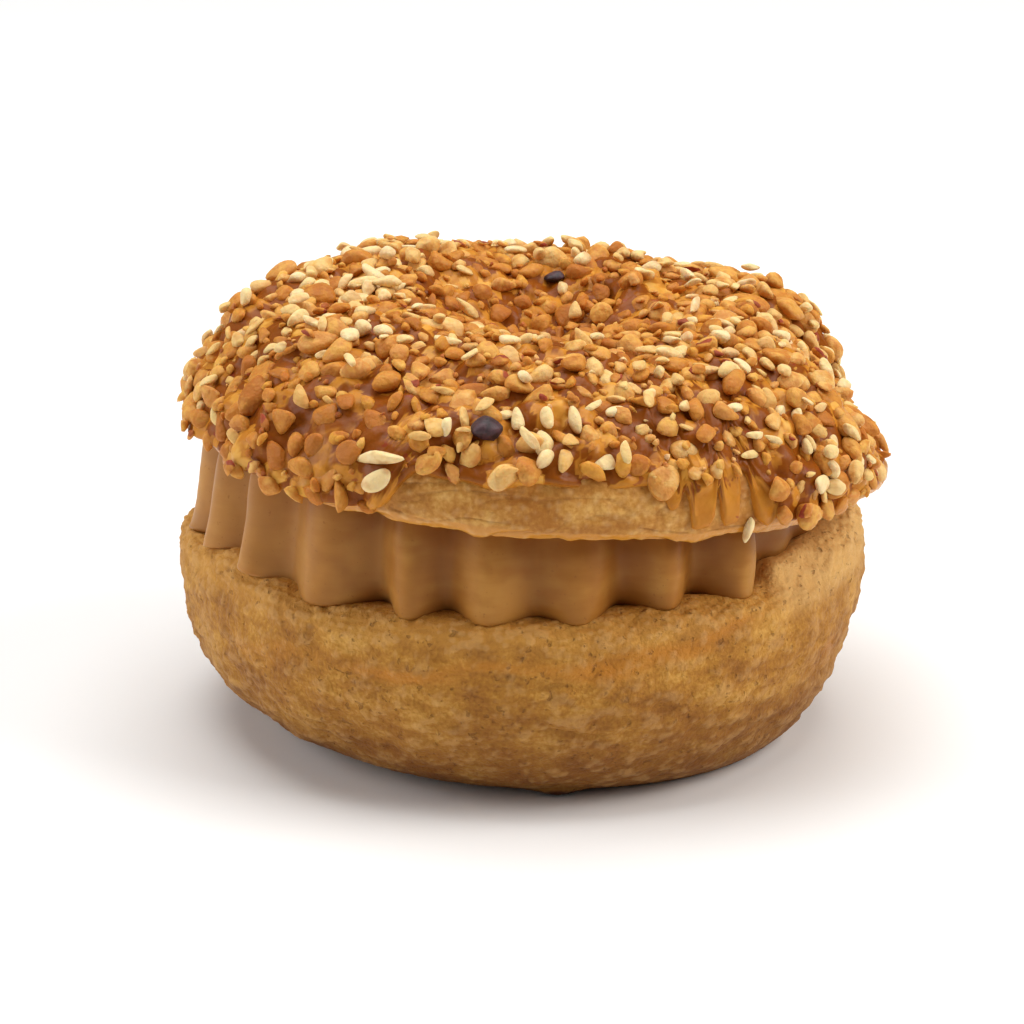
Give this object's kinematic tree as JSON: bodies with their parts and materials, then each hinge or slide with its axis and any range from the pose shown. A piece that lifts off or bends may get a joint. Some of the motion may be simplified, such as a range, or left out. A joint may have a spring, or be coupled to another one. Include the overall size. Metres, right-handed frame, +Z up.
{
  "type": "paris brest pastry",
  "caption": "Round filled choux pastry: a baked base, fluted praline cream and a domed lid under a caramel crust of chopped nuts.",
  "frame": {"origin": "middle of the base's flat underside, where the pastry stands", "axes": "+Z up; -Y is the front, where the lid's bare band shows; the lid leans down towards +X"},
  "size_m": [0.0888, 0.0873, 0.0564],
  "materials": {
    "baked_choux": "matte baked crust",
    "praline_cream": "smooth satin cream",
    "glazed_choux": "baked crust with a little syrup",
    "caramel_nuts": "chopped nuts in glossy caramel"
  },
  "bodies": {
    "root": {"base_shell": "baked_choux", "praline_cream": "praline_cream", "lid_shell": "glazed_choux", "nut_crust": "caramel_nuts"}
  },
  "joints": []
}
